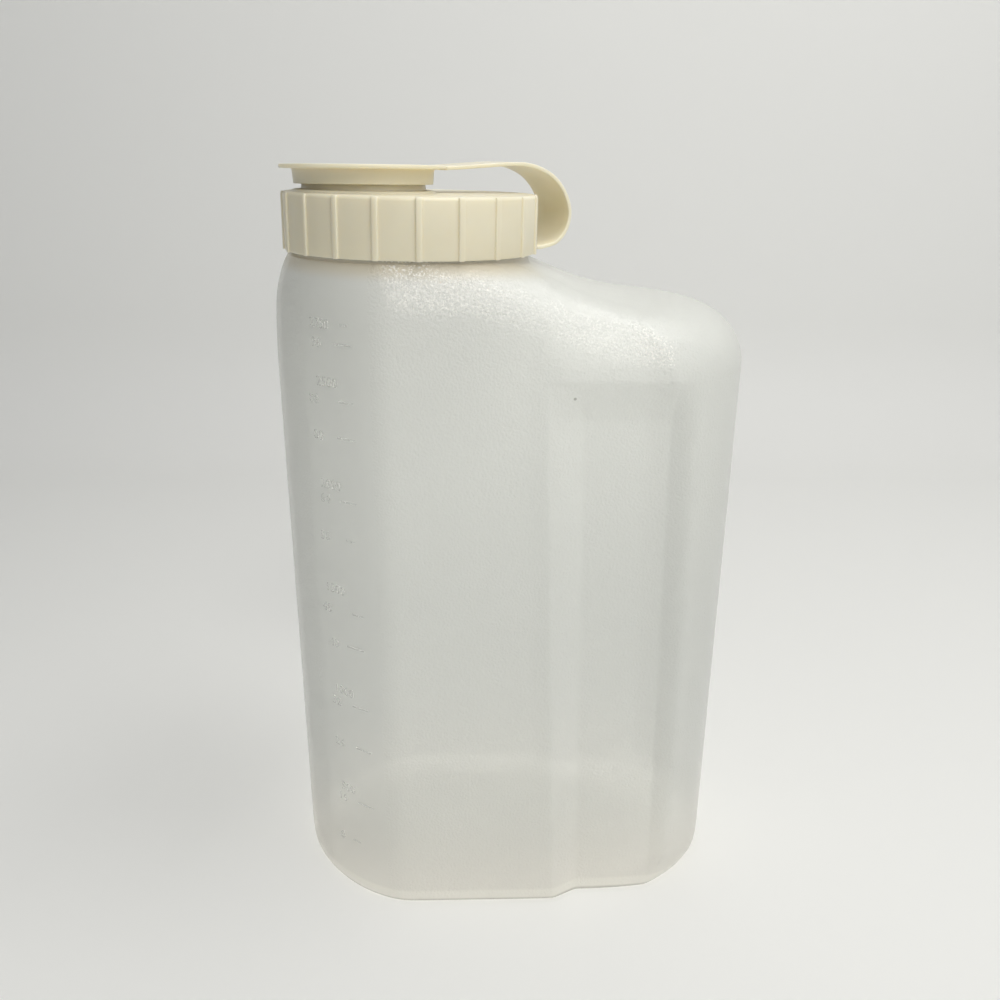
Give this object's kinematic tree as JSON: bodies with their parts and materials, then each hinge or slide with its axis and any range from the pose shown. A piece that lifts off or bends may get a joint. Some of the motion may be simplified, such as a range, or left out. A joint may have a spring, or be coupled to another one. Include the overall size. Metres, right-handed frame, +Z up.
{
  "type": "plastic pitcher",
  "caption": "Empty translucent rounded-box pitcher with finger recesses, a ribbed screw cap, and a spout under a lid on a strap.",
  "frame": {"origin": "on the floor, under the middle of the object's box in plan", "axes": "+Z up; X along the long side, -X at the pouring end and +X at the grip end; -Y is the side shown in the picture"},
  "size_m": [0.171, 0.0998, 0.2773],
  "materials": {
    "body": "frosted translucent, finely pebbled",
    "cap": "satin cream"
  },
  "bodies": {
    "root": {"body": "body", "cap": "cap"}
  },
  "joints": []
}
